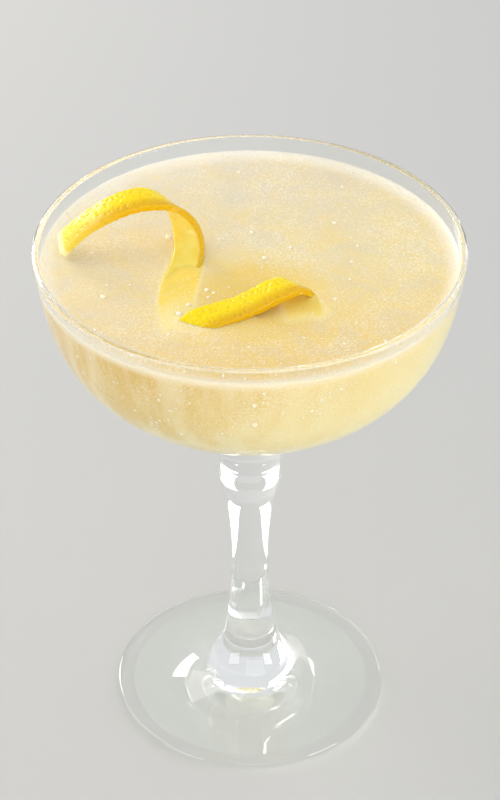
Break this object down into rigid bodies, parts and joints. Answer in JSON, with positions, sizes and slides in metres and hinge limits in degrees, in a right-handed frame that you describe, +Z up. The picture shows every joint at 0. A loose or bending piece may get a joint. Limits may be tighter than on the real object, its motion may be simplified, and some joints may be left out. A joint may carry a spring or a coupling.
{
  "type": "french seventy-five cocktail",
  "caption": "Cloudy pale sparkling drink in a stemmed coupe glass, with a long curled strip of lemon peel that arches out of the drink and dips back in.",
  "frame": {"origin": "middle of the foot's underside, on the surface that the glass stands on", "axes": "+Z up along the stem, +X to the right and +Y away from the picture's camera"},
  "size_m": [0.0998, 0.0998, 0.1402],
  "materials": {
    "glass": "clear, polished",
    "drink": "cloudy sparkling liquid",
    "lemon_peel": "fresh waxy peel"
  },
  "bodies": {
    "root": {"coupe_glass": "glass", "drink": "drink", "lemon_twist": "lemon_peel"}
  },
  "joints": []
}
